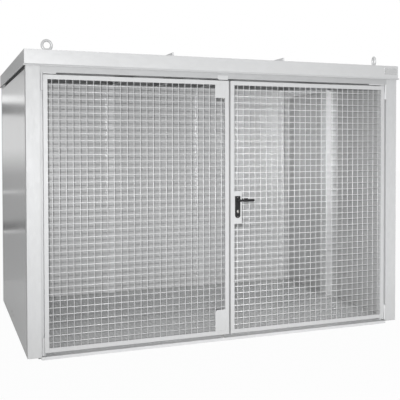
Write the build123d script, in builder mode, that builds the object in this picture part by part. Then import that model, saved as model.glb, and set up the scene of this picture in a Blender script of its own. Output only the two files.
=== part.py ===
from build123d import *
from math import cos, radians, sin
import os

# Gas cylinder container: a walk-in steel store with closed walls on three sides, a flat roof,
# a low floor and a double mesh door across the front.
# Frame: millimetres, +X to the right, +Y to the back, +Z up, origin on the ground at the
# middle of the plan.

os.makedirs("parts", exist_ok=True)

# Body
body_width = 3100.0
body_depth = 2050.0
overall_height = 2210.0
floor_top = 22.0
floor_sheet = 3.0
sheet = 1.5
panel_thickness = 30.0

# Posts and beams
post_face = 100.0
post_depth = 60.0
post_wall = 3.0
rear_corner_face = 60.0
beam_height = 60.0
beam_width = 60.0
roof_beam_width = 40.0
beam_wall = 3.0
joist_width = 40.0
joist_wall = 2.0
joist_pitch = 465.0
rim_width = 100.0
rear_rim_width = 60.0

# Roof edge
fascia_height = 115.0
roof_overhang = 10.0
drip_reach = 8.0
drip_height = 14.0
drip_hem = 3.0
vent_slot = 20.0
seam_offset = 465.0
seam_height = 25.0
seam_width = 12.0
roof_sheet = 2.0

# Wall posts inside
side_post_place = 110.0
side_post_width = 110.0
rear_post_place = 489.0
rear_post_width = 60.0
wall_post_depth = 60.0

# Door opening
header_height = 157.0
rebate_overlap = 10.0
rebate_thickness = 20.0
rebate_gap = 8.0
hinge_gap = 20.0
centre_gap = 15.0
top_gap = 15.5
leaf_bottom = 49.5
leaf_tube = 32.0
leaf_tube_wall = 2.0

# Mesh of the leaves
wire = 5.0
wire_weld = 1.0
mesh_pitch = 50.0
mesh_edge = 15.0

# Hinges
barrel_radius = 8.5
hinge_pin_radius = 5.0
pin_clearance = 0.05
knuckle_gap = 0.3
hinge_forward = 5.0
knuckle_height = 63.0
low_hinge_bottom = 35.0
high_hinge_drop = 1.0
lug_depth = 14.0
pin_length = 50.0

# Bolts of the left leaf
bolt_radius = 7.0
bolt_clearance = 0.5
bolt_from_stile = 9.0
bolt_setback = 21.5
bolt_rest_gap = 5.0
keeper_clearance = 5.5
cover_width = 83.0
high_cover_height = 102.5
low_cover_height = 165.5
cover_cut = 14.0
cover_sheet = 2.0
grip_radius = 11.0
grip_length = 60.0
grip_setback = 27.0
rod_end = 6.0
cover_margin = 2.0
guide_height = 20.0
guide_width = 19.0
guide_place = 15.0

# Keeper pieces on the header
keeper_middle = -59.5
keeper_width = 85.0
keeper_cut = 9.0
keeper_drop = 9.0
keeper_height = 33.0
keeper_sheet = 3.0
left_corner_piece = 93.0
right_corner_piece = 155.0
corner_piece_depth = 6.0

# Lock of the right leaf
lock_width = 63.0
lock_height = 259.0
lock_sheet = 2.0
escutcheon_width = 44.0
escutcheon_height = 173.0
escutcheon_rise = 46.0
escutcheon_thickness = 8.0
spindle_from_stile = 25.0
lever_height = 1101.0
lever_rise = 186.0
spindle_radius = 5.0
spindle_clearance = 0.05
lever_length = 125.0
lever_thickness = 14.0
lever_depth = 20.0
lever_standoff = 32.0
hub_radius = 11.0
running_gap = 0.3
inner_cover_thickness = 12.0
inner_lever_standoff = 30.0
cylinder_radius = 8.5
cylinder_slot = 10.0
cylinder_drop = 88.0
cylinder_reach = 3.0

# Lifting eyes and maker's plate
eye_inset = 162.0
eye_inset_back = 100.0
eye_ring_radius = 35.0
eye_bar_radius = 10.0
eye_collar_radius = 25.0
eye_collar_height = 12.0
eye_turns = (10.0, 72.5, 0.0, 90.0)
plate_width = 122.0
plate_height = 55.0
plate_margin = 14.0
plate_lift = 40.0
plate_sheet = 1.5

# Derived levels and planes
half_width = body_width / 2
front = -body_depth / 2
back = body_depth / 2
fascia_bottom = overall_height - fascia_height
wall_top = fascia_bottom - vent_slot
deck_bottom = overall_height - roof_sheet
beam_bottom = deck_bottom - beam_height
header_bottom = deck_bottom - header_height
rebate_front = front + leaf_tube + rebate_gap
rebate_back = rebate_front + rebate_thickness
clear_half = half_width - post_face
leaf_top = header_bottom - top_gap
leaf_outer = clear_half - hinge_gap
leaf_inner = centre_gap / 2
leaf_width = leaf_outer - leaf_inner
leaf_height = leaf_top - leaf_bottom
leaf_back = front + leaf_tube
mesh_width = leaf_width - 2 * leaf_tube
mesh_height = leaf_height - 2 * leaf_tube
mesh_bottom = leaf_bottom + leaf_tube
mesh_top = leaf_top - leaf_tube
mesh_front = front + cover_sheet
mesh_back = mesh_front + 2 * wire - wire_weld
hinge_x = clear_half - hinge_gap / 2
hinge_y = front - hinge_forward
plate_bottom = floor_top - floor_sheet
floor_half_width = half_width - rim_width
floor_back = back - rear_rim_width
wall_height = wall_top - floor_top
leaf_middle = (leaf_outer + leaf_inner) / 2
mesh_columns = int((mesh_width - 2 * mesh_edge) // mesh_pitch) + 1
mesh_rows = int((mesh_height - 2 * mesh_edge) // mesh_pitch) + 1
first_row = (mesh_bottom + mesh_top - (mesh_rows - 1) * mesh_pitch) / 2
lock_left = leaf_inner + leaf_tube
lock_right = lock_left + lock_width
lock_middle = lock_left + lock_width / 2
lock_row = round((lever_height - lever_rise + wire / 2 - first_row) / mesh_pitch)
lock_bottom = first_row + lock_row * mesh_pitch - wire / 2
spindle_level = lock_bottom + lever_rise
lock_top = lock_bottom + lock_height
escutcheon_bottom = lock_bottom + escutcheon_rise


def box(name, x_range, y_range, z_range):
    """A plain block between two limits along each axis."""
    with BuildPart() as block:
        with BuildSketch(Plane.XY.offset(z_range[0])):
            with Locations((sum(x_range) / 2, sum(y_range) / 2)):
                Rectangle(x_range[1] - x_range[0], y_range[1] - y_range[0])
        extrude(amount=z_range[1] - z_range[0])
    block.part.label = name
    return block.part


def tube(name, axis, x_range, y_range, z_range, wall):
    """A hollow rectangular tube along one axis, open at both ends."""
    spans = {"X": x_range, "Y": y_range, "Z": z_range}
    start = {key: span[0] if key == axis else sum(span) / 2 for key, span in spans.items()}
    across = {"X": ("Y", "Z"), "Y": ("X", "Z"), "Z": ("X", "Y")}[axis]
    x_dir = {"X": (0, 1, 0), "Y": (1, 0, 0), "Z": (1, 0, 0)}[axis]
    z_dir = {"X": (1, 0, 0), "Y": (0, 1, 0), "Z": (0, 0, 1)}[axis]
    wide = spans[across[0]][1] - spans[across[0]][0]
    high = spans[across[1]][1] - spans[across[1]][0]
    with BuildPart() as beam:
        with BuildSketch(Plane((start["X"], start["Y"], start["Z"]), x_dir=x_dir, z_dir=z_dir)):
            Rectangle(wide, high)
            Rectangle(wide - 2 * wall, high - 2 * wall, mode=Mode.SUBTRACT)
        extrude(amount=spans[axis][1] - spans[axis][0])
    beam.part.label = name
    return beam.part


def save(part, name):
    """Label a finished sub-part and write it."""
    part.label = name
    export_step(part, f"parts/{name}.step")


# Base: joists and sills under a thin floor plate, low enough to roll cylinders in
sill_range = (0.0, plate_bottom)
rear_sill_back = floor_back + joist_width / 2
save(tube("sill", "X", (-clear_half, clear_half), (rear_sill_back - joist_width, rear_sill_back),
          sill_range, joist_wall), "rear_sill")
joist_run = (front + joist_width, rear_sill_back - joist_width)

with BuildPart() as side_base_beams:
    for side in (-1, 1):
        middle = side * floor_half_width
        add(tube("beam", "Y", (middle - joist_width / 2, middle + joist_width / 2), joist_run,
                 sill_range, joist_wall))
save(side_base_beams.part, "side_base_beams")

joist_count = int(clear_half // joist_pitch)
with BuildPart() as floor_joists:
    for index in range(-joist_count + 1, joist_count):
        middle = index * joist_pitch
        add(tube("joist", "Y", (middle - joist_width / 2, middle + joist_width / 2), joist_run,
                 sill_range, joist_wall))
save(floor_joists.part, "floor_joists")

# A flat rim under the side and rear walls, on the beams, with the floor plate inside it
with BuildPart() as base_rim:
    with BuildSketch(Plane.XY.offset(plate_bottom)):
        with BuildLine():
            Polyline(
                (-half_width, front),
                (-floor_half_width, front),
                (-floor_half_width, floor_back),
                (floor_half_width, floor_back),
                (floor_half_width, front),
                (half_width, front),
                (half_width, back),
                (-half_width, back),
                close=True,
            )
        make_face()
    extrude(amount=floor_sheet)
save(base_rim.part, "base_rim")

# The floor plate has the socket of the lower bolt
bolt_x = -(leaf_inner + leaf_tube + bolt_from_stile)
bolt_y = front + bolt_setback
bolt_hole_radius = bolt_radius + bolt_clearance
with BuildPart() as floor_plate:
    with BuildSketch(Plane.XY.offset(plate_bottom)):
        with Locations((0, (front + floor_back) / 2)):
            Rectangle(2 * floor_half_width, floor_back - front)
        with Locations((bolt_x, bolt_y)):
            Circle(bolt_hole_radius, mode=Mode.SUBTRACT)
    extrude(amount=floor_sheet)
save(floor_plate.part, "floor_plate")

# The front sill has the same socket, so the bolt drops through the plate into it
with BuildPart() as front_sill:
    add(tube("sill", "X", (-clear_half, clear_half), (front, front + joist_width), sill_range,
             joist_wall))
    with BuildSketch(Plane.XY.offset(plate_bottom - joist_wall)):
        with Locations((bolt_x, bolt_y)):
            Circle(bolt_hole_radius)
    extrude(amount=joist_wall, mode=Mode.SUBTRACT)
save(front_sill.part, "front_sill")

# Front posts: a folded box with a rebate leg that backs the hinge gap
for side, name in ((-1, "front_left_post"), (1, "front_right_post")):
    leg_x = clear_half - hinge_gap - rebate_overlap
    with BuildPart() as front_post:
        with BuildSketch(Plane.XY.offset(floor_top)):
            with BuildLine():
                Polyline(
                    (side * half_width, front),
                    (side * clear_half, front),
                    (side * clear_half, rebate_front),
                    (side * leg_x, rebate_front),
                    (side * leg_x, rebate_back),
                    (side * half_width, rebate_back),
                    close=True,
                )
            make_face()
            offset(amount=-post_wall, kind=Kind.INTERSECTION, mode=Mode.SUBTRACT)
        extrude(amount=header_bottom - floor_top)
        with BuildSketch(Plane.XY.offset(header_bottom)):
            with Locations((side * (half_width + clear_half) / 2, (front + rebate_back) / 2)):
                Rectangle(post_face, post_depth)
                Rectangle(post_face - 2 * post_wall, post_depth - 2 * post_wall,
                          mode=Mode.SUBTRACT)
        extrude(amount=deck_bottom - header_bottom)
    save(front_post.part, name)

rear_post_front = back - post_depth
rear_half = half_width - rear_corner_face
for side, name in ((-1, "rear_left_post"), (1, "rear_right_post")):
    outer = side * half_width
    inner = side * rear_half
    save(tube(name, "Z", (min(outer, inner), max(outer, inner)), (rear_post_front, back),
              (floor_top, deck_bottom), post_wall), name)


def wall_panel(name, plane, width):
    """A folded sheet tray: a smooth outer sheet with a flange on its four edges."""
    with BuildPart() as panel:
        with BuildSketch(plane):
            Rectangle(width, wall_height)
        extrude(amount=panel_thickness)
        with BuildSketch(plane.offset(sheet)):
            Rectangle(width - 2 * sheet, wall_height - 2 * sheet)
        extrude(amount=panel_thickness - sheet, mode=Mode.SUBTRACT)
    save(panel.part, name)


# Side walls: two panels a side, closed up to the ventilation slot under the roof edge
wall_middle = (floor_top + wall_top) / 2
side_runs = {"front": (rebate_back, side_post_place), "rear": (side_post_place, rear_post_front)}
for side, side_name in ((-1, "left"), (1, "right")):
    for run_name, (start, end) in side_runs.items():
        wall_panel(
            f"{side_name}_wall_{run_name}",
            Plane((side * half_width, (start + end) / 2, wall_middle), x_dir=(0, 1, 0),
                  z_dir=(-side, 0, 0)),
            end - start,
        )

# Rear wall: three panels between the rear posts
rear_edges = (-rear_half, -rear_post_place, rear_post_place, rear_half)
for index, name in enumerate(("rear_wall_left", "rear_wall_middle", "rear_wall_right")):
    start = rear_edges[index]
    end = rear_edges[index + 1]
    wall_panel(
        name,
        Plane(((start + end) / 2, back, wall_middle), x_dir=(1, 0, 0), z_dir=(0, -1, 0)),
        end - start,
    )

# Posts inside the walls, over the panel joints: a tube up to the top beams with two cheeks
# that reach the outer sheet between the trays' flanges
cheek_range = (floor_top + sheet, wall_top - sheet)
wall_face = half_width - panel_thickness
post_inside = half_width - wall_post_depth
side_post_range = (side_post_place - side_post_width / 2, side_post_place + side_post_width / 2)
with BuildPart() as side_wall_posts:
    for side in (-1, 1):
        tube_range = sorted((side * wall_face, side * post_inside))
        sheet_range = sorted((side * wall_face, side * (half_width - sheet)))
        add(tube("post", "Z", tube_range, side_post_range, (floor_top, beam_bottom), joist_wall))
        for start in (side_post_range[0], side_post_range[1] - joist_wall):
            add(box("cheek", sheet_range, (start, start + joist_wall), cheek_range))
save(side_wall_posts.part, "side_wall_posts")

rear_tube_range = (back - wall_post_depth, back - panel_thickness)
rear_cheek_range = (back - panel_thickness, back - sheet)
with BuildPart() as rear_wall_posts:
    for side in (-1, 1):
        low = side * rear_post_place - rear_post_width / 2
        high = low + rear_post_width
        add(tube("post", "Z", (low, high), rear_tube_range, (floor_top, beam_bottom), joist_wall))
        for start in (low, high - joist_wall):
            add(box("cheek", (start, start + joist_wall), rear_cheek_range, cheek_range))
save(rear_wall_posts.part, "rear_wall_posts")

# Front header: a deep box over an open gap above the leaves, with the upper bolt's socket
with BuildPart() as front_header:
    add(tube("header", "X", (-clear_half, clear_half), (front, rebate_back),
             (header_bottom, deck_bottom), post_wall))
    with BuildSketch(Plane.XY.offset(header_bottom)):
        with Locations((bolt_x, bolt_y)):
            Circle(bolt_hole_radius)
    extrude(amount=post_wall, mode=Mode.SUBTRACT)
save(front_header.part, "front_header")

# Top beams and roof beams under the deck
beam_range = (beam_bottom, deck_bottom)
save(tube("rear_top_beam", "X", (-rear_half, rear_half), (back - beam_width, back), beam_range,
          beam_wall), "rear_top_beam")
with BuildPart() as side_top_beams:
    for side in (-1, 1):
        outer = side * half_width
        inner = side * (half_width - beam_width)
        add(tube("beam", "Y", (min(outer, inner), max(outer, inner)),
                 (rebate_back, rear_post_front), beam_range, beam_wall))
save(side_top_beams.part, "side_top_beams")
with BuildPart() as roof_beams:
    for middle in (-seam_offset, 0, seam_offset):
        add(tube("beam", "Y", (middle - roof_beam_width / 2, middle + roof_beam_width / 2),
                 (rebate_back, back - beam_width), beam_range, beam_wall))
save(roof_beams.part, "roof_beams")

# Strips close the slot over the walls on the inside, from the trays up to the top beams
strip_range = (wall_top, beam_bottom)
with BuildPart() as slot_strips:
    for side in (-1, 1):
        strip_place = sorted((side * wall_face, side * (wall_face + sheet)))
        add(box("strip", strip_place, (rebate_back, rear_post_front), strip_range))
    strip_start = back - panel_thickness
    add(box("strip", (-rear_half, rear_half), (strip_start, strip_start + sheet), strip_range))
save(slot_strips.part, "slot_strips")

# Roof deck with two standing seams, and the fascias with an outward drip hem
roof_half_width = half_width + roof_overhang
roof_half_depth = body_depth / 2 + roof_overhang
deck_half_width = roof_half_width - roof_sheet
deck_half_depth = roof_half_depth - roof_sheet
save(box("roof_deck", (-deck_half_width, deck_half_width), (-deck_half_depth, deck_half_depth),
         (deck_bottom, overall_height)), "roof_deck")
with BuildPart() as roof_seams:
    for middle in (-seam_offset, seam_offset):
        add(box("seam", (middle - seam_width / 2, middle + seam_width / 2),
                (-deck_half_depth, deck_half_depth),
                (overall_height, overall_height + seam_height)))
save(roof_seams.part, "roof_seams")


def fascia(plane, length, hem_length):
    """A roof edge sheet drawn across its plane, outward along the plane's local X."""
    with BuildPart() as edge:
        with BuildSketch(plane.offset(-length / 2)):
            with Locations((-roof_sheet / 2, fascia_bottom + fascia_height / 2)):
                Rectangle(roof_sheet, fascia_height)
        extrude(amount=length)
        with BuildSketch(plane.offset(-hem_length / 2)):
            with BuildLine():
                Polyline(
                    (0, fascia_bottom),
                    (drip_reach, fascia_bottom),
                    (drip_reach, fascia_bottom + drip_hem),
                    (0, fascia_bottom + drip_height),
                    close=True,
                )
            make_face()
        extrude(amount=hem_length)
    return edge.part


front_plane = Plane((0, -roof_half_depth, 0), x_dir=(0, -1, 0), z_dir=(-1, 0, 0))
rear_plane = Plane((0, roof_half_depth, 0), x_dir=(0, 1, 0), z_dir=(1, 0, 0))
long_hem = 2 * (roof_half_width + drip_reach)
save(fascia(front_plane, 2 * roof_half_width, long_hem), "front_fascia")
save(fascia(rear_plane, 2 * roof_half_width, long_hem), "rear_fascia")
left_plane = Plane((-roof_half_width, 0, 0), x_dir=(-1, 0, 0), z_dir=(0, 1, 0))
right_plane = Plane((roof_half_width, 0, 0), x_dir=(1, 0, 0), z_dir=(0, -1, 0))
save(fascia(left_plane, 2 * deck_half_depth, 2 * roof_half_depth), "left_fascia")
save(fascia(right_plane, 2 * deck_half_depth, 2 * roof_half_depth), "right_fascia")

# Lifting eyes screwed into the roof corners, each stopped at its own turn
eye_x = half_width - eye_inset
eye_y = body_depth / 2 - eye_inset_back
eye_centre = overall_height + eye_ring_radius + eye_bar_radius
eye_places = ((-eye_x, -eye_y), (eye_x, -eye_y), (-eye_x, eye_y), (eye_x, eye_y))
with BuildPart() as lifting_eyes:
    for (x, y), turn in zip(eye_places, eye_turns):
        across = Vector(-sin(radians(turn)), cos(radians(turn)), 0)
        with Locations(Plane((x, y, eye_centre), z_dir=across)):
            Torus(eye_ring_radius, eye_bar_radius)
        with BuildSketch(Plane.XY.offset(overall_height)):
            with Locations((x, y)):
                Circle(eye_collar_radius)
        extrude(amount=eye_collar_height)
save(lifting_eyes.part, "lifting_eyes")

# A blank plate at the right end of the front fascia
plate_right = roof_half_width - plate_margin
plate_low = fascia_bottom + plate_lift
save(box("blank_plate", (plate_right - plate_width, plate_right),
         (-roof_half_depth - plate_sheet, -roof_half_depth),
         (plate_low, plate_low + plate_height)), "blank_plate")

# Keeper pieces that close the gap over the leaves
keeper_low = header_bottom - keeper_drop
keeper_left = keeper_middle - keeper_width / 2
keeper_right = keeper_middle + keeper_width / 2
keeper_top = keeper_low + keeper_height
with BuildPart() as header_keepers:
    with BuildSketch(Plane((0, front, 0), x_dir=(1, 0, 0), z_dir=(0, -1, 0))):
        with BuildLine():
            Polyline(
                (keeper_left + keeper_cut, keeper_low),
                (keeper_right, keeper_low),
                (keeper_right, keeper_top),
                (keeper_left, keeper_top),
                (keeper_left, keeper_low + keeper_cut),
                close=True,
            )
        make_face()
    extrude(amount=keeper_sheet)
    for start, end in ((-leaf_outer, -leaf_outer + left_corner_piece),
                       (leaf_outer - right_corner_piece, leaf_outer)):
        add(box("corner", (start, end), (front, front + corner_piece_depth),
                (keeper_low, header_bottom)))
save(header_keepers.part, "header_keepers")

# Hinges: the fixed knuckles hold the pins, the leaf knuckles sit between them
low_meet = low_hinge_bottom + knuckle_height
high_top = header_bottom - high_hinge_drop
high_meet = high_top - knuckle_height


def knuckle(side, toward, low, high, pin=0.0, bore=False):
    """One hinge knuckle with its weld lug, a pin if it holds one, or a bore."""
    x = side * hinge_x
    edge = x + toward * hinge_gap / 2
    root = x + toward * barrel_radius / 2
    with BuildPart() as piece:
        with BuildSketch(Plane.XY.offset(low)):
            with Locations((x, hinge_y)):
                Circle(barrel_radius)
            with Locations(((edge + root) / 2, hinge_y + lug_depth / 2)):
                Rectangle(abs(edge - root), lug_depth)
        extrude(amount=high - low)
        if bore:
            with BuildSketch(Plane.XY.offset(low)):
                with Locations((x, hinge_y)):
                    Circle(hinge_pin_radius + pin_clearance)
            extrude(amount=high - low, mode=Mode.SUBTRACT)
        if pin > 0:
            with BuildSketch(Plane.XY.offset(high)):
                with Locations((x, hinge_y)):
                    Circle(hinge_pin_radius)
            extrude(amount=pin)
        if pin < 0:
            with BuildSketch(Plane.XY.offset(low + pin)):
                with Locations((x, hinge_y)):
                    Circle(hinge_pin_radius)
            extrude(amount=-pin)
    return piece.part


with BuildPart() as post_hinges:
    for side in (-1, 1):
        add(knuckle(side, side, low_hinge_bottom, low_meet, pin=pin_length))
        add(knuckle(side, side, high_meet, high_top, pin=-pin_length))
save(post_hinges.part, "post_hinges")


def leaf(side, name):
    """The frame, mesh and hinge knuckles of one leaf."""
    outer = side * leaf_outer
    inner = side * leaf_inner
    hinge_stile = (min(outer, outer - side * leaf_tube), max(outer, outer - side * leaf_tube))
    meeting_stile = (min(inner, inner + side * leaf_tube), max(inner, inner + side * leaf_tube))
    opening = (min(outer, inner) + leaf_tube, max(outer, inner) - leaf_tube)
    depth = (front, leaf_back)
    save(tube("stile", "Z", hinge_stile, depth, (leaf_bottom, leaf_top), leaf_tube_wall),
         f"{name}_leaf_hinge_stile")
    save(tube("stile", "Z", meeting_stile, depth, (leaf_bottom, leaf_top), leaf_tube_wall),
         f"{name}_leaf_meeting_stile")
    with BuildPart() as rails:
        for low in (leaf_bottom, mesh_top):
            add(tube("rail", "X", opening, depth, (low, low + leaf_tube), leaf_tube_wall))
        if side < 0:
            with BuildSketch(Plane.XY.offset(leaf_bottom)):
                with Locations((bolt_x, bolt_y)):
                    Circle(bolt_hole_radius)
            extrude(amount=leaf_height, mode=Mode.SUBTRACT)
    save(rails.part, f"{name}_leaf_rails")
    with BuildPart() as hinges:
        add(knuckle(side, -side, low_meet + knuckle_gap, low_meet + knuckle_height, bore=True))
        add(knuckle(side, -side, high_meet - knuckle_height, high_meet - knuckle_gap, bore=True))
    save(hinges.part, f"{name}_leaf_hinges")
    leaf_mesh(side, name, opening)


def leaf_mesh(side, name, opening):
    """Welded wire mesh in three bands: upright wires in front, level wires behind."""
    middle = side * leaf_middle
    columns = [middle + (i - (mesh_columns - 1) / 2) * mesh_pitch for i in range(mesh_columns)]
    rows = [first_row + i * mesh_pitch for i in range(mesh_rows)]
    bands = {
        "lower": (mesh_bottom, lock_bottom, opening[0]),
        "middle": (lock_bottom, lock_top, opening[0] if side < 0 else lock_right),
        "upper": (lock_top, mesh_top, opening[0]),
    }
    for band_name, (low, high, left) in bands.items():
        with BuildPart() as mesh:
            with BuildSketch(Plane((0, mesh_front, 0), x_dir=(1, 0, 0), z_dir=(0, -1, 0))):
                with Locations([(x, (low + high) / 2) for x in columns if x > left]):
                    Rectangle(wire, high - low)
            extrude(amount=-wire)
            level_plane = Plane((0, mesh_back - wire, 0), x_dir=(1, 0, 0), z_dir=(0, -1, 0))
            with BuildSketch(level_plane):
                with Locations([((left + opening[1]) / 2, z) for z in rows if low < z < high]):
                    Rectangle(opening[1] - left, wire)
            extrude(amount=-wire)
        save(mesh.part, f"{name}_leaf_mesh_{band_name}")


leaf(-1, "left")
leaf(1, "right")

# Left leaf: two cover plates over the bolts, in front of the mesh
stile_edge = -(leaf_inner + leaf_tube)
cover_left = stile_edge - cover_width
cover_plane = Plane((0, front, 0), x_dir=(1, 0, 0), z_dir=(0, -1, 0))
with BuildPart() as bolt_cover_plates:
    with BuildSketch(cover_plane):
        with Locations(((cover_left + stile_edge) / 2, mesh_top - high_cover_height / 2)):
            Rectangle(cover_width, high_cover_height)
        low_cover_top = mesh_bottom + low_cover_height
        with BuildLine():
            Polyline(
                (cover_left, mesh_bottom),
                (stile_edge, mesh_bottom),
                (stile_edge, low_cover_top),
                (cover_left + cover_cut, low_cover_top),
                (cover_left, low_cover_top - cover_cut),
                close=True,
            )
        make_face()
    extrude(amount=-cover_sheet)
save(bolt_cover_plates.part, "bolt_cover_plates")

# Guides welded to the meeting stile behind the covers
guide_range = (stile_edge - guide_width, stile_edge)
guide_depth = (mesh_back, leaf_back)
with BuildPart() as bolt_guides:
    for low in (mesh_bottom + guide_place, mesh_top - guide_place - guide_height):
        add(box("guide", guide_range, guide_depth, (low, low + guide_height)))
    with BuildSketch(Plane.XY.offset(mesh_bottom)):
        with Locations((bolt_x, bolt_y)):
            Circle(bolt_hole_radius)
    extrude(amount=mesh_height, mode=Mode.SUBTRACT)
save(bolt_guides.part, "bolt_guides")


def bolt(low, high, grip_level, name):
    """A sliding bolt rod and the cross grip that it passes through."""
    grip_left = bolt_x - grip_length
    with BuildPart() as rod:
        with BuildSketch(Plane.XY.offset(low)):
            with Locations((bolt_x, bolt_y)):
                Circle(bolt_radius)
        extrude(amount=high - low)
    save(rod.part, name)
    grip_plane = Plane((grip_left, front + grip_setback, grip_level), x_dir=(0, 1, 0),
                       z_dir=(1, 0, 0))
    with BuildPart() as grip:
        with BuildSketch(grip_plane):
            Circle(grip_radius)
        extrude(amount=grip_length)
        with BuildSketch(Plane.XY.offset(low)):
            with Locations((bolt_x, bolt_y)):
                Circle(bolt_radius)
        extrude(amount=high - low, mode=Mode.SUBTRACT)
    save(grip.part, f"{name}_grip")


# At rest each grip is hidden behind its cover plate
high_grip = mesh_top - high_cover_height + cover_margin + grip_radius
low_grip = mesh_bottom + low_cover_height - cover_margin - grip_radius
upper_tip = header_bottom - keeper_drop - keeper_clearance
lower_tip = floor_top + bolt_rest_gap
bolt(high_grip - grip_radius - rod_end, upper_tip, high_grip, "upper_bolt")
bolt(lower_tip, low_grip + grip_radius + rod_end, low_grip, "lower_bolt")

# Right leaf: a folded lock box flush with the frame, open at the back
spindle_x = lock_left + spindle_from_stile
with BuildPart() as lock_box:
    with BuildSketch(Plane((0, front, 0), x_dir=(1, 0, 0), z_dir=(0, -1, 0))):
        with Locations((lock_middle, lock_bottom + lock_height / 2)):
            Rectangle(lock_width, lock_height)
    extrude(amount=-leaf_tube)
    with BuildSketch(Plane((0, front + lock_sheet, 0), x_dir=(1, 0, 0), z_dir=(0, -1, 0))):
        with Locations((lock_middle, lock_bottom + lock_height / 2)):
            Rectangle(lock_width - 2 * lock_sheet, lock_height - 2 * lock_sheet)
    extrude(amount=-leaf_tube, mode=Mode.SUBTRACT)
    with BuildSketch(Plane((0, front, 0), x_dir=(1, 0, 0), z_dir=(0, -1, 0))):
        with Locations((spindle_x, spindle_level)):
            Circle(hub_radius)
    extrude(amount=-lock_sheet, mode=Mode.SUBTRACT)
save(lock_box.part, "lock_box")

# Escutcheon with a rounded foot in front, and the key cylinder in it
escutcheon_front = front - escutcheon_thickness
with BuildPart() as escutcheon:
    with BuildSketch(Plane((0, front, 0), x_dir=(1, 0, 0), z_dir=(0, -1, 0))):
        half = escutcheon_width / 2
        arc_level = escutcheon_bottom + half
        with BuildLine():
            Polyline(
                (spindle_x - half, arc_level),
                (spindle_x - half, escutcheon_bottom + escutcheon_height),
                (spindle_x + half, escutcheon_bottom + escutcheon_height),
                (spindle_x + half, arc_level),
            )
            ThreePointArc((spindle_x + half, arc_level), (spindle_x, escutcheon_bottom),
                          (spindle_x - half, arc_level))
        make_face()
        with Locations((spindle_x, spindle_level)):
            Circle(spindle_radius + spindle_clearance, mode=Mode.SUBTRACT)
    extrude(amount=escutcheon_thickness)
save(escutcheon.part, "escutcheon")

with BuildPart() as key_cylinder:
    with BuildSketch(Plane((0, escutcheon_front, 0), x_dir=(1, 0, 0), z_dir=(0, -1, 0))):
        with Locations((spindle_x, spindle_level - cylinder_drop)):
            SlotCenterToCenter(cylinder_slot, 2 * cylinder_radius, rotation=90)
    extrude(amount=cylinder_reach)
save(key_cylinder.part, "key_cylinder")

# Inner cover behind the lock box
inner_cover_back = leaf_back + inner_cover_thickness
with BuildPart() as inner_lock_cover:
    with BuildSketch(Plane((0, leaf_back, 0), x_dir=(1, 0, 0), z_dir=(0, -1, 0))):
        with Locations((lock_middle, lock_bottom + lock_height / 2)):
            Rectangle(lock_width, lock_height)
        with Locations((spindle_x, spindle_level)):
            Circle(spindle_radius + spindle_clearance, mode=Mode.SUBTRACT)
    extrude(amount=-inner_cover_thickness)
save(inner_lock_cover.part, "inner_lock_cover")

# Lever handles on one spindle: a straight lever outside and the same one inside
outer_grip_back = escutcheon_front - lever_standoff
inner_grip_front = inner_cover_back + inner_lever_standoff
with BuildPart() as lever_handles:
    with BuildSketch(Plane((0, outer_grip_back, 0), x_dir=(1, 0, 0), z_dir=(0, -1, 0))):
        with Locations((spindle_x, spindle_level)):
            Circle(spindle_radius)
    extrude(amount=-(inner_grip_front - outer_grip_back))
    for start, end in ((outer_grip_back, escutcheon_front - running_gap),
                       (inner_cover_back + running_gap, inner_grip_front)):
        with BuildSketch(Plane((0, start, 0), x_dir=(1, 0, 0), z_dir=(0, -1, 0))):
            with Locations((spindle_x, spindle_level)):
                Circle(hub_radius)
        extrude(amount=-(end - start))
    for face, reach in ((outer_grip_back, lever_thickness), (inner_grip_front, -lever_thickness)):
        with BuildSketch(Plane((0, face, 0), x_dir=(1, 0, 0), z_dir=(0, -1, 0))):
            with Locations((spindle_x, spindle_level)):
                Circle(hub_radius)
            with Locations((spindle_x + lever_length / 2, spindle_level)):
                Rectangle(lever_length, lever_depth)
        extrude(amount=reach)
save(lever_handles.part, "lever_handles")
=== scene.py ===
from math import radians

import bpy
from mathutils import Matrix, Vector


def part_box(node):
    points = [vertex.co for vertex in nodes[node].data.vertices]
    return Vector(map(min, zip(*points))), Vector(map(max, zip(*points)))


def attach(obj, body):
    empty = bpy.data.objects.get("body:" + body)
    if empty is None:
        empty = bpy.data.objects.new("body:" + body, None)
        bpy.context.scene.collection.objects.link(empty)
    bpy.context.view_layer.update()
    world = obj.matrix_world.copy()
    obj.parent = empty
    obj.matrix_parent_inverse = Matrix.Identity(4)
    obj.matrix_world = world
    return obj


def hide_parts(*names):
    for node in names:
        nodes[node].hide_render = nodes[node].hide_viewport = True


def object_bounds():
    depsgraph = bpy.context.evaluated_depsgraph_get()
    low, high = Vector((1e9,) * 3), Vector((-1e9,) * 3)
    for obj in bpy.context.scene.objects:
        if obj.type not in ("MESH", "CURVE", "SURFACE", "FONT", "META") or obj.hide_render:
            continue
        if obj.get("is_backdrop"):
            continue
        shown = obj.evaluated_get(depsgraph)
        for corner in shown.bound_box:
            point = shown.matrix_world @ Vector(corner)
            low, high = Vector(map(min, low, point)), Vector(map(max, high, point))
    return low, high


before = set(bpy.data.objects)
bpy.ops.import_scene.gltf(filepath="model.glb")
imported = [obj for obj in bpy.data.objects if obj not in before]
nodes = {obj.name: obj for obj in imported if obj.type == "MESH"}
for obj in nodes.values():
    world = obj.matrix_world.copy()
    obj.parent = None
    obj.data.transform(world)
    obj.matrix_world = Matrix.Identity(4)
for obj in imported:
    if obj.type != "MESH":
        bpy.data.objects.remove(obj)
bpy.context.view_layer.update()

# Camera: it stands left of the doors at eye height and looks a little down, as the
# photographer did. Its square frame is shifted to keep the upright edges upright.
camera_place = (-2.1134, -6.1186, 1.5231)
bpy.ops.object.camera_add(
    location=camera_place,
    rotation=(radians(88.5735), radians(0.0778), radians(-21.3001)),
)
camera = bpy.context.object
camera.data.lens = 63.42
camera.data.sensor_width = 36.0
camera.data.shift_x = -0.0367
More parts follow.
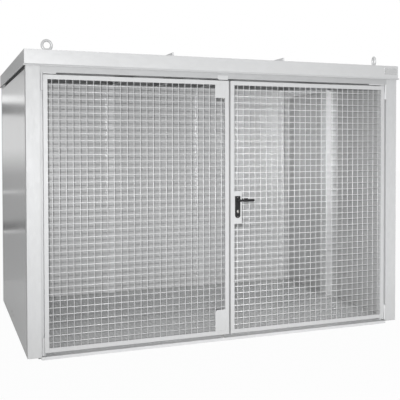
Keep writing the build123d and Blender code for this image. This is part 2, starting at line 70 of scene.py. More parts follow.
camera.data.shift_y = -0.0896
camera.data.clip_end = 200.0
bpy.context.scene.camera = camera
bpy.context.scene.view_settings.view_transform = "Standard"

# Studio: a white surround. The camera sees it white and the metal mirrors it a little
# greyer. Its soft light is strong from above and behind, and weak from the front.
least_light = 0.12
most_light = 0.88
mirrored_white = 0.66
bright_side = (0.0, 0.45, 0.35)


def add(tree, kind, **values):
    """A shader node with plain values on its inputs or its settings."""
    node = tree.nodes.new("ShaderNode" + kind)
    for label, value in values.items():
        socket = label.replace("_", " ")
        if socket in node.inputs:
            node.inputs[socket].default_value = value
        else:
            setattr(node, label, value)
    return node


world = bpy.data.worlds.new("studio")
bpy.context.scene.world = world
world.cycles.sampling_method = "NONE"
world.use_nodes = True
tree = world.node_tree
path = add(tree, "LightPath")
direction = add(tree, "TexCoord")
towards = add(tree, "VectorMath", operation="DOT_PRODUCT")
towards.inputs[1].default_value = bright_side
soft_light = add(tree, "MapRange", From_Min=-0.45, From_Max=0.55, To_Min=least_light,
                 To_Max=most_light)
mirrored = add(tree, "Mix", B=mirrored_white)
seen = add(tree, "Mix", B=1.0)
tree.links.new(direction.outputs["Generated"], towards.inputs[0])
tree.links.new(towards.outputs["Value"], soft_light.inputs["Value"])
tree.links.new(soft_light.outputs["Result"], mirrored.inputs["A"])
tree.links.new(path.outputs["Is Glossy Ray"], mirrored.inputs["Factor"])
tree.links.new(mirrored.outputs["Result"], seen.inputs["A"])
tree.links.new(path.outputs["Is Camera Ray"], seen.inputs["Factor"])
tree.links.new(seen.outputs["Result"], tree.nodes["Background"].inputs["Strength"])
tree.nodes["Background"].inputs["Color"].default_value = (1.0, 1.0, 1.0, 1.0)

# Flash: a small lamp just above the lens, turned towards the right end of the doors. It
# throws the shadow of every level wire on the rear wall, half a mesh below the wire.
lamp_place = Vector(camera_place) + Vector((-0.028, 0.0, 0.088))
lamp_aim = Vector((2.15, -1.0, 0.35))
bpy.ops.object.light_add(type="AREA", location=lamp_place)
lamp = bpy.context.object
lamp.data.shape = "RECTANGLE"
lamp.data.size = 0.02
lamp.data.size_y = 0.008
lamp.data.spread = radians(110)
lamp.data.energy = 158.0
lamp.rotation_euler = (lamp_aim - lamp_place).to_track_quat("-Z", "Y").to_euler()

# Studio floor: plain and pale. The camera sees it nearly white, the metal mirrors a grey
# share of that, and it keeps the container's shadow.
ground_size = 60.0
ground_shade = 0.32
seen_share = 0.97
mirrored_share = 0.26
bpy.ops.mesh.primitive_plane_add(size=ground_size)
ground = bpy.context.object
ground.name = "studio_floor"
look = bpy.data.materials.new("pale floor")
look.use_nodes = True
tree = look.node_tree
surface = tree.nodes["Principled BSDF"]
surface.inputs["Base Color"].default_value = (ground_shade, ground_shade, ground_shade, 1.0)
surface.inputs["Roughness"].default_value = 0.9
glow = add(tree, "Emission")
mix = add(tree, "MixShader")
path = add(tree, "LightPath")
to_camera = add(tree, "Math", operation="MULTIPLY")
to_camera.inputs[1].default_value = seen_share
to_metal = add(tree, "Math", operation="MULTIPLY_ADD")
to_metal.inputs[1].default_value = mirrored_share
tree.links.new(path.outputs["Is Camera Ray"], to_camera.inputs[0])
tree.links.new(path.outputs["Is Glossy Ray"], to_metal.inputs[0])
tree.links.new(to_camera.outputs["Value"], to_metal.inputs[2])
tree.links.new(to_metal.outputs["Value"], mix.inputs["Fac"])
tree.links.new(surface.outputs["BSDF"], mix.inputs[1])
tree.links.new(glow.outputs["Emission"], mix.inputs[2])
tree.links.new(mix.outputs["Shader"], tree.nodes["Material Output"].inputs["Surface"])
ground.data.materials.append(look)
ground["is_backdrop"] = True

# Studio screen: it stands behind the container at the left and shows only in mirroring
# sheet. Its light and dark bands are what the bright side wall mirrors.
screen_left = -2.2
screen_far = 2.2
screen_wide = 1.3
screen_high = 2.6
screen_shade = 0.38


def fix_place():
    """Put the place, turn and scale of the selected piece into its mesh."""
    bpy.ops.object.transform_apply(location=True, rotation=True, scale=True)


bpy.ops.mesh.primitive_plane_add(size=1.0, location=(screen_left, screen_far, screen_high / 2),
                                 rotation=(radians(90), 0, 0))
screen = bpy.context.object
screen.name = "studio_screen"
screen.scale = (screen_wide, screen_high, 1.0)
fix_place()
look = bpy.data.materials.new("banded screen")
look.use_nodes = True
tree = look.node_tree
tree.nodes.remove(tree.nodes["Principled BSDF"])
place = add(tree, "TexCoord")
parts = add(tree, "SeparateXYZ")
level = add(tree, "Math", operation="DIVIDE")
level.inputs[1].default_value = screen_high
bands = add(tree, "ValToRGB")
glow = add(tree, "Emission")
bands.color_ramp.interpolation = "LINEAR"
stops = bands.color_ramp.elements
for stop, position in zip(stops, (0.0, 1.0)):
    stop.position = position
    stop.color = (screen_shade, screen_shade, screen_shade, 1.0)
for high, shade in (
    (0.50, 0.36), (0.54, 0.36), (0.56, 0.95), (0.58, 0.12), (0.63, 0.14), (0.70, 0.37),
    (0.99, 0.37), (1.01, 0.90), (1.03, 0.37), (1.20, 0.40), (1.50, 0.80), (1.87, 0.78),
    (1.91, 0.22), (2.00, 0.24), (2.04, 1.15), (2.09, 1.15), (2.12, 0.62), (2.32, 0.60),
    (2.40, 0.38),
):
    stop = stops.new(high / screen_high)
    stop.color = (shade, shade, shade, 1.0)
tree.links.new(place.outputs["Object"], parts.inputs["Vector"])
tree.links.new(parts.outputs["Z"], level.inputs[0])
tree.links.new(level.outputs["Value"], bands.inputs["Fac"])
tree.links.new(bands.outputs["Color"], glow.inputs["Color"])
tree.links.new(glow.outputs["Emission"], tree.nodes["Material Output"].inputs["Surface"])
screen.data.materials.append(look)
screen.visible_camera = False
screen.visible_diffuse = False
screen.visible_shadow = False
screen.visible_transmission = False
screen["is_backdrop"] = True

# Base frame: low sills and joists of square tube under a flat rim, welded and then dipped
# in molten zinc as one piece, so the zinc is dull, cloudy and a little rough.


def group_tree(name, inputs, outputs):
    """An empty shader group with named sockets. Returns its tree, its input and output nodes."""
    group = bpy.data.node_groups.new(name, "ShaderNodeTree")
    for label, kind, value in inputs:
        socket = group.interface.new_socket(name=label, in_out="INPUT", socket_type=kind)
        if value is not None:
            socket.default_value = value
    for label, kind in outputs:
        group.interface.new_socket(name=label, in_out="OUTPUT", socket_type=kind)
    return group, group.nodes.new("NodeGroupInput"), group.nodes.new("NodeGroupOutput")


def blend_of(tree, factor, first, second):
    """A number that goes from first to second as the factor goes from 0 to 1."""
    node = add(tree, "MapRange", To_Min=first, To_Max=second)
    tree.links.new(factor, node.inputs["Value"])
    return node.outputs["Result"]


def colour_of(tree, factor, first, second, how="MIX"):
    """A colour mixed of two. Each part is a plain value or the output of a node."""
    node = add(tree, "Mix", data_type="RGBA", blend_type=how)
    for value, socket in zip((factor, first, second), (node.inputs[i] for i in (0, 6, 7))):
        if isinstance(value, bpy.types.NodeSocket):
            tree.links.new(value, socket)
        else:
            socket.default_value = value if socket == node.inputs[0] else (*value, 1.0)
    return node.outputs[2]


# Zinc grows in flat crystals. Each has its own shade and gloss, under a slow cloudiness
# and a fine grain.
zinc, given, gives = group_tree(
    "zinc bloom",
    (("Vector", "NodeSocketVector", None), ("Crystals", "NodeSocketFloat", 70.0),
     ("Clouds", "NodeSocketFloat", 2.5), ("Crystal Share", "NodeSocketFloat", 0.35)),
    (("Tone", "NodeSocketFloat"), ("Gloss", "NodeSocketFloat"), ("Height", "NodeSocketFloat")),
)
warp = add(zinc, "TexNoise", Scale=24.0, Detail=2.0)
push = add(zinc, "VectorMath", operation="MULTIPLY_ADD")
push.inputs[1].default_value = (0.012, 0.012, 0.012)
crystal = add(zinc, "TexVoronoi", feature="F1")
shade = add(zinc, "SeparateColor")
cloud = add(zinc, "TexNoise", Detail=5.0, Roughness=0.55)
grain = add(zinc, "TexNoise", Scale=420.0, Detail=2.0)
mixed = add(zinc, "Mix")
fine = add(zinc, "Mix", Factor=0.16)
glint = add(zinc, "Mix", Factor=0.4)
zinc.links.new(given.outputs["Vector"], warp.inputs["Vector"])
zinc.links.new(warp.outputs["Color"], push.inputs[0])
zinc.links.new(given.outputs["Vector"], push.inputs[2])
zinc.links.new(push.outputs["Vector"], crystal.inputs["Vector"])
zinc.links.new(given.outputs["Crystals"], crystal.inputs["Scale"])
zinc.links.new(crystal.outputs["Color"], shade.inputs["Color"])
zinc.links.new(given.outputs["Vector"], cloud.inputs["Vector"])
zinc.links.new(given.outputs["Clouds"], cloud.inputs["Scale"])
zinc.links.new(given.outputs["Vector"], grain.inputs["Vector"])
zinc.links.new(given.outputs["Crystal Share"], mixed.inputs["Factor"])
zinc.links.new(cloud.outputs["Fac"], mixed.inputs["A"])
zinc.links.new(shade.outputs["Red"], mixed.inputs["B"])
zinc.links.new(mixed.outputs["Result"], fine.inputs["A"])
zinc.links.new(grain.outputs["Fac"], fine.inputs["B"])
zinc.links.new(fine.outputs["Result"], gives.inputs["Tone"])
zinc.links.new(shade.outputs["Green"], glint.inputs["A"])
zinc.links.new(cloud.outputs["Fac"], glint.inputs["B"])
zinc.links.new(glint.outputs["Result"], gives.inputs["Gloss"])
zinc.links.new(fine.outputs["Result"], gives.inputs["Height"])

# Rain and wheels leave a thin grey film near the ground. It fades out upwards.
film, given, gives = group_tree(
    "ground film",
    (("Vector", "NodeSocketVector", None), ("Reach", "NodeSocketFloat", 0.35),
     ("Amount", "NodeSocketFloat", 0.3)),
    (("Mask", "NodeSocketFloat"),),
)
parts = add(film, "SeparateXYZ")
fade = add(film, "MapRange", To_Min=1.0, To_Max=0.0)
blotch = add(film, "TexNoise", Scale=9.0, Detail=4.0)
worn = add(film, "Math", operation="MULTIPLY")
cover = add(film, "Math", operation="MULTIPLY")
film.links.new(given.outputs["Vector"], parts.inputs["Vector"])
film.links.new(given.outputs["Vector"], blotch.inputs["Vector"])
film.links.new(parts.outputs["Z"], fade.inputs["Value"])
film.links.new(given.outputs["Reach"], fade.inputs["From Max"])
film.links.new(fade.outputs["Result"], worn.inputs[0])
film.links.new(blotch.outputs["Fac"], worn.inputs[1])
film.links.new(worn.outputs["Value"], cover.inputs[0])
film.links.new(given.outputs["Amount"], cover.inputs[1])
film.links.new(cover.outputs["Value"], gives.inputs["Mask"])
dust_colour = (0.42, 0.41, 0.39)


def zinc_finish(name, dark, light, metallic, gloss, crystals, share, stretch=(1, 1, 1),
                clouds=2.5, bump=0.00006, dust=0.25):
    """A zinc-coated steel finish: its two shades, its roughness range and its crystals."""
    finish = bpy.data.materials.new(name)
    finish.use_nodes = True
    tree = finish.node_tree
    surface = tree.nodes["Principled BSDF"]
    surface.inputs["Metallic"].default_value = metallic
    place = add(tree, "TexCoord")
    turned = add(tree, "Mapping", Scale=stretch)
    bloom = add(tree, "Group", node_tree=zinc)
    bloom.inputs["Crystals"].default_value = crystals
    bloom.inputs["Clouds"].default_value = clouds
    bloom.inputs["Crystal Share"].default_value = share
    low = add(tree, "Group", node_tree=film)
    low.inputs["Amount"].default_value = dust
    relief = add(tree, "Bump", Strength=0.6, Distance=bump)
    tree.links.new(place.outputs["Object"], turned.inputs["Vector"])
    tree.links.new(turned.outputs["Vector"], bloom.inputs["Vector"])
    tree.links.new(place.outputs["Object"], low.inputs["Vector"])
    clean = colour_of(tree, bloom.outputs["Tone"], dark, light)
    dusty = colour_of(tree, low.outputs["Mask"], clean, dust_colour)
    tree.links.new(dusty, surface.inputs["Base Color"])
    tree.links.new(blend_of(tree, bloom.outputs["Gloss"], *gloss), surface.inputs["Roughness"])
    tree.links.new(bloom.outputs["Height"], relief.inputs["Height"])
    tree.links.new(relief.outputs["Normal"], surface.inputs["Normal"])
    return finish


def dress(finish, *names):
    """Give CAD nodes their finish."""
    for name in names:
        node = nodes[name]
        if not node.data.materials:
            node.data.materials.append(finish)
        node.material_slots[0].material = finish


def bevel(piece, width, steps, angle=30):
    """A live bevel on the edges that turn by more than the angle, in degrees."""
    edge = piece.modifiers.new("rounded edge", "BEVEL")
    edge.width = width
    edge.segments = steps
    edge.limit_method = "ANGLE"
    edge.angle_limit = radians(angle)


def round_edges(radius, *names, steps=2):
    """Round the folded or rolled edges of CAD nodes with modifiers that stay live."""
    for name in names:
        node = nodes[name]
        joined = node.modifiers.new("joined", "WELD")
        joined.merge_threshold = 0.00001
        flat = node.modifiers.new("flat faces", "DECIMATE")
        flat.decimate_type = "DISSOLVE"
        flat.angle_limit = radians(1)
        bevel(node, radius, steps, angle=35)
        even = node.modifiers.new("even shading", "WEIGHTED_NORMAL")
        even.keep_sharp = True


dull_zinc = zinc_finish("dipped zinc, dull", (0.56, 0.565, 0.57), (0.68, 0.685, 0.69), 0.15,
                        (0.45, 0.58), 60.0, 0.30)
sill_zinc = zinc_finish("dipped zinc, sill", (0.58, 0.585, 0.59), (0.70, 0.705, 0.71), 0.15,
                        (0.40, 0.52), 60.0, 0.30, dust=0.1)
dress(sill_zinc, "front_sill")
dress(dull_zinc, "rear_sill", "side_base_beams", "floor_joists", "base_rim")
round_edges(0.003, "front_sill", "rear_sill", "side_base_beams", "floor_joists")
round_edges(0.0006, "base_rim")

# Floor: a hot-rolled plate with raised bars, zinc-dipped, laid on the joists inside the
# rim. Rolling presses the bars out of the plate in pairs that stand across each other.
tread_zinc = zinc_finish("tread plate zinc", (0.60, 0.605, 0.61), (0.80, 0.805, 0.81), 0.20,
                         (0.32, 0.46), 90.0, 0.25, dust=0.1)
dress(tread_zinc, "floor_plate")
bar_size = (0.028, 0.009, 0.0018)
bar_top_share = 0.6
bar_step = 0.034
bar_cells = (42, 28)
first_bar = (-1.414, -0.965)


def clear_selection():
    """Nothing is selected afterwards."""
    for item in list(bpy.context.selected_objects):
        item.select_set(False)


def join(pieces, name):
    """Join pieces into one with that name."""
    clear_selection()
    for piece in pieces:
        piece.select_set(True)
    bpy.context.view_layer.objects.active = pieces[0]
    bpy.ops.object.join()
    joined = bpy.context.object
    joined.name = name
    return joined


def row(piece, count, step):
    """A live row of copies of a piece, each one step from the last."""
    copies = piece.modifiers.new("row", "ARRAY")
    copies.count = count
    copies.use_relative_offset = False
    copies.use_constant_offset = True
    copies.constant_offset_displace = step


def apply_modifiers(piece):
    """Apply all modifiers of a piece in their order."""
    bpy.context.view_layer.objects.active = piece
    for modifier in list(piece.modifiers):
        bpy.ops.object.modifier_apply(modifier=modifier.name)


def settle(piece, finish, body, slot, *stands_for):
    """Put the place in the mesh, give the finish, and hang the piece on its body."""
    clear_selection()
    piece.select_set(True)
    bpy.context.view_layer.objects.active = piece
    fix_place()
    piece.data.materials.clear()
    piece.data.materials.append(finish)
    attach(piece, body)
    if stands_for:
        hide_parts(*stands_for)


floor_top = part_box("floor_plate")[1].z
pieces = []
for across, along, turn in ((0, 0, 45), (1, 0, -45), (0, 1, -45), (1, 1, 45)):
    clear_selection()
    bpy.ops.mesh.primitive_cone_add(
        vertices=6, radius1=0.5, radius2=0.5 * bar_top_share, depth=1.0,
        location=(first_bar[0] + across * bar_step, first_bar[1] + along * bar_step,
                  floor_top + 0.0008),
        rotation=(0, 0, radians(turn)), scale=bar_size,
    )
    pieces.append(bpy.context.object)
bars = join(pieces, "tread_bars")
fix_place()
row(bars, bar_cells[0], (2 * bar_step, 0, 0))
row(bars, bar_cells[1], (0, 2 * bar_step, 0))
apply_modifiers(bars)
settle(bars, tread_zinc, "container", "floor_plate")

# Posts: folded boxes with a rebate leg behind the hinge gap at the front, and square tube
# at the back. They stand welded on the base and keep the soft edges of bent steel.
post_zinc = zinc_finish("post zinc", (0.50, 0.505, 0.51), (0.60, 0.605, 0.61), 0.12,
                        (0.42, 0.55), 55.0, 0.25, stretch=(1, 1, 0.35))
posts = ("front_left_post", "front_right_post", "rear_left_post", "rear_right_post")
dress(post_zinc, *posts)
round_edges(0.004, *posts, steps=3)

# Top frame: the header over the doors and square tubes over the other walls and under the
# roof, welded between the heads of the posts and dipped with them.
# Their zinc is darker than the posts' as painted shade under the edge sheets and the roof.
beam_zinc_painted_shade = zinc_finish("beam zinc", (0.40, 0.405, 0.41), (0.50, 0.505, 0.51), 0.15,
                        (0.40, 0.52), 55.0, 0.25, stretch=(0.35, 1, 1))
dress(beam_zinc_painted_shade, "front_header", "rear_top_beam", "side_top_beams", "roof_beams")
round_edges(0.004, "front_header", steps=3)
round_edges(0.004, "rear_top_beam", "side_top_beams", "roof_beams")

# Walls: smooth zinc-coated sheet folded into trays and hung outside the posts, with strips
# that close the slot above them. Outside, the sheet is bright enough to mirror the studio.
# Inside, the sheet's colour is darkened as painted shade of the roofed interior.
outer_sides = 1.5493
outer_rear = 1.0243
inner_metal = 0.20
outer_metal = 0.85
inner_dullness = 0.08


def wall_finish(name, inner_painted_shade):
    """Bright sheet; its inner face is duller and darkened by a factor as painted shade."""
    finish = zinc_finish(name, (0.68, 0.685, 0.69), (0.80, 0.805, 0.81), outer_metal,
                         (0.20, 0.26), 45.0, 0.20, stretch=(1, 1, 0.5), clouds=1.2,
                         bump=0.00002, dust=0.35)
    tree = finish.node_tree
    surface = tree.nodes["Principled BSDF"]
    place = add(tree, "TexCoord")
    parts = add(tree, "SeparateXYZ")
    outer = add(tree, "Math", operation="MAXIMUM")
    tree.links.new(place.outputs["Object"], parts.inputs["Vector"])
    for axis, limit, side in (("X", outer_sides, 0), ("Y", outer_rear, 1)):
        reach = add(tree, "Math", operation="ABSOLUTE")
        beyond = add(tree, "Math", operation="GREATER_THAN")
        beyond.inputs[1].default_value = limit
        tree.links.new(parts.outputs[axis], reach.inputs[0])
        tree.links.new(reach.outputs["Value"], beyond.inputs[0])
        tree.links.new(beyond.outputs["Value"], outer.inputs[side])
    is_outer = outer.outputs["Value"]
    tone = surface.inputs["Base Color"].links[0].from_socket
    gloss = surface.inputs["Roughness"].links[0].from_socket
    # Painted shade: the inner face's colour is multiplied darker than the outer face's.
    inner = colour_of(tree, 1.0, tone, (inner_painted_shade, inner_painted_shade, inner_painted_shade), how="MULTIPLY")
    dull = add(tree, "Math", operation="ADD")
    dull.inputs[1].default_value = inner_dullness
    glosses = add(tree, "Mix")
    tree.links.new(blend_of(tree, is_outer, inner_metal, outer_metal), surface.inputs["Metallic"])
    tree.links.new(colour_of(tree, is_outer, inner, tone), surface.inputs["Base Color"])
    tree.links.new(gloss, dull.inputs[0])
    tree.links.new(is_outer, glosses.inputs["Factor"])
    tree.links.new(dull.outputs["Value"], glosses.inputs["A"])
    tree.links.new(gloss, glosses.inputs["B"])
    tree.links.new(glosses.outputs["Result"], surface.inputs["Roughness"])
    return finish


# Painted shade: the side walls' inner faces are darkened more than the rear wall's.
rear_sheet = wall_finish("bright rear sheet", 0.90)
side_sheet = wall_finish("bright side sheet", 0.62)
rear_walls = ("rear_wall_left", "rear_wall_middle", "rear_wall_right")
side_walls = ("left_wall_front", "left_wall_rear", "right_wall_front", "right_wall_rear")
dress(rear_sheet, *rear_walls, "slot_strips")
dress(side_sheet, *side_walls)
round_edges(0.002, *rear_walls, *side_walls)

# Wall posts: folded sheet channels, wide in the side walls and narrow in the rear wall,
# fixed inside where two wall trays meet.
post_sheet = zinc_finish("bright post sheet", (0.60, 0.605, 0.61), (0.74, 0.745, 0.75), 0.45,
                         (0.28, 0.38), 45.0, 0.20, stretch=(1, 1, 0.5), dust=0.2)
rear_post_sheet = zinc_finish("dull post sheet", (0.62, 0.625, 0.63), (0.76, 0.765, 0.77), 0.25,
                              (0.36, 0.46), 45.0, 0.20, stretch=(1, 1, 0.5), dust=0.2)
dress(post_sheet, "side_wall_posts")
dress(rear_post_sheet, "rear_wall_posts")
round_edges(0.005, "side_wall_posts", "rear_wall_posts")

# Roof: a flat deck of zinc-coated sheet with two standing seams. Folded edge sheets with a
# drip hem hang round it and cover the top frame.
edge_sheets = ("front_fascia", "rear_fascia", "left_fascia", "right_fascia")
roof_zinc = zinc_finish("roof sheet zinc", (0.56, 0.565, 0.57), (0.66, 0.665, 0.67), 0.25,
                        (0.34, 0.44), 45.0, 0.20, stretch=(0.4, 1, 1), bump=0.00003)
dress(roof_zinc, "roof_deck", "roof_seams", *edge_sheets)
round_edges(0.0015, *edge_sheets)
round_edges(0.003, "roof_seams")

# Keeper pieces: small cut plates welded under the header, which hold the upper bolt and
# stop the leaves. They are dipped with the frame.
dress(post_zinc, "header_keepers")
round_edges(0.0008, "header_keepers")

# Hinges: turned steel knuckles on pins, one half welded to the post and the other to the
# leaf, dipped with what carries them.
hinges = ("post_hinges", "left_leaf_hinges", "right_leaf_hinges")
dress(post_zinc, *hinges)
round_edges(0.0008, *hinges)

# Leaves: drawn square tube welded into a frame and dipped in zinc. Each hangs on its
# hinges in front of the rebate of its post.
for side in ("left", "right"):
    leaf_frame = [f"{side}_leaf_{part}" for part in ("hinge_stile", "meeting_stile", "rails")]
    dress(post_zinc, *leaf_frame)
    round_edges(0.003, *leaf_frame, steps=3)

# Wire mesh: round zinc-coated steel wires at a 50 mm pitch, welded where they cross, with
# the uprights in front. The mat is welded to the back of the leaf's frame.
wire_zinc = zinc_finish("wire zinc", (0.60, 0.605, 0.61), (0.72, 0.725, 0.73), 0.15,
                        (0.34, 0.46), 160.0, 0.30)
wire = 0.005
wire_burr = 0.0006
pitch = 0.05
front_row = -1.0205
back_row = -1.0165
rows = 38
columns = 27
first_row = 0.1175
first_left_column = -1.36875
first_right_column = 0.06875


def wires(low, high, across, deep, count, upright):
    """A row of round wires at the mesh pitch: one modelled with cut ends, the rest copied."""
    middle = (low + high) / 2
    clear_selection()
    bpy.ops.mesh.primitive_cylinder_add(
        vertices=8, radius=wire / 2, depth=high - low,
        location=(across, deep, middle) if upright else (middle, deep, across),
        rotation=(0, 0, 0) if upright else (0, radians(90), 0),
    )
    piece = bpy.context.object
    fix_place()
    bevel(piece, wire_burr, 1, angle=60)
    row(piece, count, (pitch, 0, 0) if upright else (0, 0, pitch))
    apply_modifiers(piece)
    bpy.ops.object.shade_smooth_by_angle(angle=radians(50))
    return piece


left_low, left_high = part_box("left_leaf_mesh_lower")
bottom = left_low.z
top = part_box("left_leaf_mesh_upper")[1].z
pieces = [
    wires(bottom, top, first_left_column, front_row, columns, True),
    wires(left_low.x, left_high.x, first_row, back_row, rows, False),
]
settle(join(pieces, "left_leaf_wires"), wire_zinc, "left_leaf", "galvanised_wire",
       "left_leaf_mesh_lower", "left_leaf_mesh_middle", "left_leaf_mesh_upper")

right_low, right_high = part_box("right_leaf_mesh_lower")
lock_low, lock_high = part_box("lock_box")
below = round((lock_low.z - first_row) // pitch) + 1
beside = round((lock_high.z - lock_low.z) // pitch) + 1
above = rows - below - beside
pieces = [
    wires(bottom, lock_low.z, first_right_column, front_row, 1, True),
    wires(lock_high.z, top, first_right_column, front_row, 1, True),
    wires(bottom, top, first_right_column + pitch, front_row, columns - 1, True),
    wires(right_low.x, right_high.x, first_row, back_row, below, False),
    wires(lock_high.x, right_high.x, first_row + below * pitch, back_row, beside, False),
    wires(right_low.x, right_high.x, first_row + (below + beside) * pitch, back_row, above, False),
]
settle(join(pieces, "right_leaf_wires"), wire_zinc, "right_leaf", "galvanised_wire",
       "right_leaf_mesh_lower", "right_leaf_mesh_middle", "right_leaf_mesh_upper")

# Bolt cover plates and guides: cut and folded plate, welded into the corners of the left
# leaf. The guides hold the bolts and the covers keep hands off them from outside.
dress(post_zinc, "bolt_cover_plates", "bolt_guides")
round_edges(0.0008, "bolt_cover_plates", "bolt_guides")

# Lock box: a folded steel case welded to the meeting stile of the right leaf and into the
# mesh. The lock sits inside.
dress(post_zinc, "lock_box")
round_edges(0.0008, "lock_box")

# Escutcheon and inner cover: black plastic mouldings with a fine grain, rubbed a little
# shinier by hands, screwed to the two faces of the lock box.
black = bpy.data.materials.new("black plastic")
black.use_nodes = True
tree = black.node_tree
surface = tree.nodes["Principled BSDF"]
surface.inputs["Specular IOR Level"].default_value = 0.25
place = add(tree, "TexCoord")
grain = add(tree, "TexNoise", Scale=900.0, Detail=3.0)
rub = add(tree, "TexNoise", Scale=30.0, Detail=4.0)
relief = add(tree, "Bump", Strength=0.5, Distance=0.0001)
tree.links.new(place.outputs["Object"], grain.inputs["Vector"])
tree.links.new(place.outputs["Object"], rub.inputs["Vector"])
rubbed = colour_of(tree, rub.outputs["Fac"], (0.010, 0.010, 0.011), (0.024, 0.024, 0.025))
tree.links.new(rubbed, surface.inputs["Base Color"])
tree.links.new(blend_of(tree, rub.outputs["Fac"], 0.34, 0.55), surface.inputs["Roughness"])
tree.links.new(grain.outputs["Fac"], relief.inputs["Height"])
tree.links.new(relief.outputs["Normal"], surface.inputs["Normal"])
dress(black, "escutcheon", "inner_lock_cover")
round_edges(0.0025, "escutcheon", steps=3)
round_edges(0.0015, "inner_lock_cover")

# Levers: two black plastic mouldings over a steel core, one on each end of the square
# spindle. A round hub runs into a grip that is waisted near the hub.
lever_reach = 0.125
hub_radius = 0.011
hub_depth = 0.014
grip_height = 0.020
lever_gap = 0.0003
grip_cuts = (0.16, 0.30, 0.65, 0.90)
grip_waist = {0.16: 0.78, 0.30: 0.88, 1.00: 0.86}
hub_low, hub_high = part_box("lever_handles")
plate_low, plate_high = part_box("escutcheon")
cover_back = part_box("inner_lock_cover")[1].y
spindle = Vector(((plate_low.x + plate_high.x) / 2, 0, (hub_low.z + hub_high.z) / 2))


def one_skin(piece, voxel, rounds):
    """Melt the joined shapes of a piece into one skin and soften it."""
    skin = piece.modifiers.new("one skin", "REMESH")
    skin.mode = "VOXEL"
    skin.voxel_size = voxel
    soft = piece.modifiers.new("soft edges", "SMOOTH")
    soft.factor = 0.5
    soft.iterations = rounds
    apply_modifiers(piece)
    bpy.ops.object.shade_smooth()


def lever(name, hub_from, hub_to, grip_to):
    """A lever whose hub starts at hub_from and whose grip fills from hub_to to grip_to."""
    clear_selection()
    bpy.ops.mesh.primitive_cylinder_add(
        vertices=40, radius=hub_radius, depth=abs(grip_to - hub_from) - 0.0016,
        location=(spindle.x, (hub_from + grip_to) / 2, spindle.z), rotation=(radians(90), 0, 0),
    )
    hub = bpy.context.object
    bpy.ops.mesh.primitive_cube_add(
        size=1.0, location=(spindle.x + lever_reach / 2, (hub_to + grip_to) / 2, spindle.z),
        scale=(lever_reach, abs(grip_to - hub_to), grip_height),
    )
    grip = bpy.context.object
    fix_place()
    bpy.ops.object.mode_set(mode="EDIT")
    for share in grip_cuts:
        bpy.ops.mesh.select_all(action="SELECT")
        bpy.ops.mesh.bisect(plane_co=(spindle.x + lever_reach * share, 0, 0), plane_no=(1, 0, 0))
    bpy.ops.object.mode_set(mode="OBJECT")
    for point in grip.data.vertices:
        share = round((point.co.x - spindle.x) / lever_reach, 2)
        point.co.z = spindle.z + (point.co.z - spindle.z) * grip_waist.get(share, 1.0)
    bevel(grip, 0.0045, 3)
    apply_modifiers(grip)
    piece = join([hub, grip], name)
    one_skin(piece, 0.0012, 5)
    return piece


outer_lever = lever("outer_lever", plate_low.y - lever_gap, hub_low.y + hub_depth, hub_low.y)
inner_lever = lever("inner_lever", cover_back + lever_gap, hub_high.y - hub_depth, hub_high.y)
settle(outer_lever, black, "lever", "black_plastic", "lever_handles")
settle(inner_lever, black, "lever", "black_plastic", "lever_handles")

# Key cylinder: nickel-plated brass, slid through the lock box and held by one screw. Its
# plug turns in the upper round end and has an upright key slit.
nickel = zinc_finish("nickel plate", (0.55, 0.54, 0.52), (0.68, 0.67, 0.64), 1.0,
                     (0.18, 0.30), 400.0, 0.1, bump=0.00001, dust=0.0)
plug_radius = 0.0062
plug_depth = 0.0012
slit_size = (0.0014, 0.0006, 0.0072)
dress(nickel, "key_cylinder")
round_edges(0.0008, "key_cylinder")
cylinder_low, cylinder_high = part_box("key_cylinder")
key_centre = Vector((spindle.x, cylinder_low.y, cylinder_high.z - 0.0085))
clear_selection()
bpy.ops.mesh.primitive_cylinder_add(vertices=32, radius=plug_radius, depth=plug_depth,
                                    location=key_centre - Vector((0, 0.0005, 0)),
                                    rotation=(radians(90), 0, 0))
plug = bpy.context.object
fix_place()
bevel(plug, 0.0004, 2, angle=60)
apply_modifiers(plug)
bpy.ops.mesh.primitive_cube_add(size=1.0, location=key_centre - Vector((0, 0.0011, 0.0004)),
                                scale=slit_size)
slit = bpy.context.object
fix_place()
bevel(slit, 0.0002, 2)
apply_modifiers(slit)
plug.name = "key_plug"
slit.name = "key_slit"
settle(plug, nickel, "right_leaf", "nickel")
settle(slit, black, "right_leaf", "black_plastic")

# Escutcheon screws: two nickel-plated screws with low domed heads, above the lever and
# below the key cylinder, which pull the escutcheon against the lock box.
screw_radius = 0.0035
screw_rise = 0.0016
facing_front = (radians(90), 0, 0)
facing_side = (0, radians(90), 0)


def screw(name, place, radius, rise, facing, body, slot):
    """A domed screw or rivet head of nickel-plated steel, rounded from a short cylinder."""
    clear_selection()
    bpy.ops.mesh.primitive_cylinder_add(vertices=24, radius=radius, depth=rise, location=place,
                                        rotation=facing)
    head = bpy.context.object
    bpy.ops.object.transform_apply(location=False, rotation=True, scale=True)
    bevel(head, rise * 0.8, 3, angle=60)
    apply_modifiers(head)
    bpy.ops.object.shade_smooth_by_angle(angle=radians(40))
    head.name = name
    settle(head, nickel, body, slot)


for name, high in (("escutcheon_screw_high", plate_high.z - 0.012),
                   ("escutcheon_screw_low", plate_low.z + 0.010)):
    screw(name, (spindle.x, plate_low.y - 0.0005, high), screw_radius, screw_rise, facing_front,
          "right_leaf", "nickel")

# Bolts: turned and plated steel rods that slide in the guides of the left leaf. Each has a
# black plastic grip screwed on at the back, which hides behind its cover plate at rest.
dress(nickel, "upper_bolt", "lower_bolt")
round_edges(0.0008, "upper_bolt", "lower_bolt")
dress(black, "upper_bolt_grip", "lower_bolt_grip")
round_edges(0.0015, "upper_bolt_grip", "lower_bolt_grip")

# Earth screws: two domed steel screws low on the left wall, which take the earthing cable
# and are turned into nuts welded to the inside of the base.
earth_radius = 0.007
earth_rise = 0.004
for name, place in (("earth_screw_front", (-1.5510, 0.020, 0.100)),
                    ("earth_screw_rear", (-1.5510, 0.144, 0.107))):
    screw(name, place, earth_radius, earth_rise, facing_side, "container", "eye_steel")

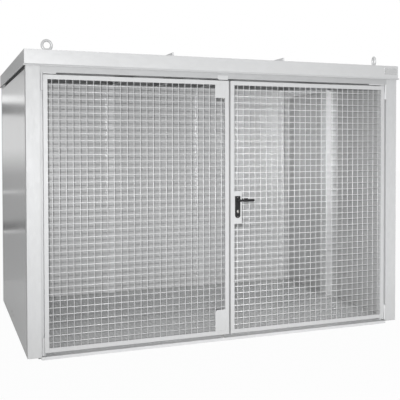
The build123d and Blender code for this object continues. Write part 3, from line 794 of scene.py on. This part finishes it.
# Lifting eyes: forged rings on a turned collar, screwed through the deck into the roof
# corners. Forging leaves them rounded all over, and each stops at its own turn.
eye_zinc = zinc_finish("forged eye zinc", (0.56, 0.565, 0.57), (0.68, 0.685, 0.69), 0.25,
                       (0.34, 0.48), 120.0, 0.35, bump=0.00012, dust=0.0)
ring_radius = 0.035
ring_bar_radius = 0.010
ring_rise = 0.045
collar_radius = 0.025
eye_out = 1.388
eye_deep = 0.925
roof_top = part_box("roof_deck")[1].z
for name, x, y, turn in (("front_left_eye", -eye_out, -eye_deep, 10.0),
                         ("front_right_eye", eye_out, -eye_deep, 72.5),
                         ("rear_left_eye", -eye_out, eye_deep, 0.0),
                         ("rear_right_eye", eye_out, eye_deep, 90.0)):
    clear_selection()
    bpy.ops.mesh.primitive_torus_add(
        major_segments=48, minor_segments=16, major_radius=ring_radius,
        minor_radius=ring_bar_radius, location=(x, y, roof_top + ring_rise),
        rotation=(radians(90), 0, radians(turn)))
    ring = bpy.context.object
    bpy.ops.mesh.primitive_cylinder_add(vertices=48, radius=collar_radius, depth=0.0118,
                                        location=(x, y, roof_top + 0.0061))
    collar = bpy.context.object
    bpy.ops.mesh.primitive_cone_add(vertices=32, radius1=0.0175, radius2=ring_bar_radius,
                                    depth=0.012, location=(x, y, roof_top + 0.016))
    neck = bpy.context.object
    eye = join([ring, collar, neck], name)
    one_skin(eye, 0.0018, 3)
    settle(eye, eye_zinc, "container", "eye_steel", "lifting_eyes")

# Blank plate: a thin bright sheet at the right end of the front edge sheet, held by a domed
# rivet at each end. Nothing is marked on it.
rivet_radius = 0.0026
rivet_rise = 0.0014
rivet_inset = 0.007
dress(side_sheet, "blank_plate")
round_edges(0.0006, "blank_plate")
blank_low, blank_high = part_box("blank_plate")
for name, x in (("plate_rivet_left", blank_low.x + rivet_inset),
                ("plate_rivet_right", blank_high.x - rivet_inset)):
    screw(name, (x, blank_low.y - 0.0004, (blank_low.z + blank_high.z) / 2), rivet_radius,
          rivet_rise, facing_front, "container", "plate")

low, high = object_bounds()
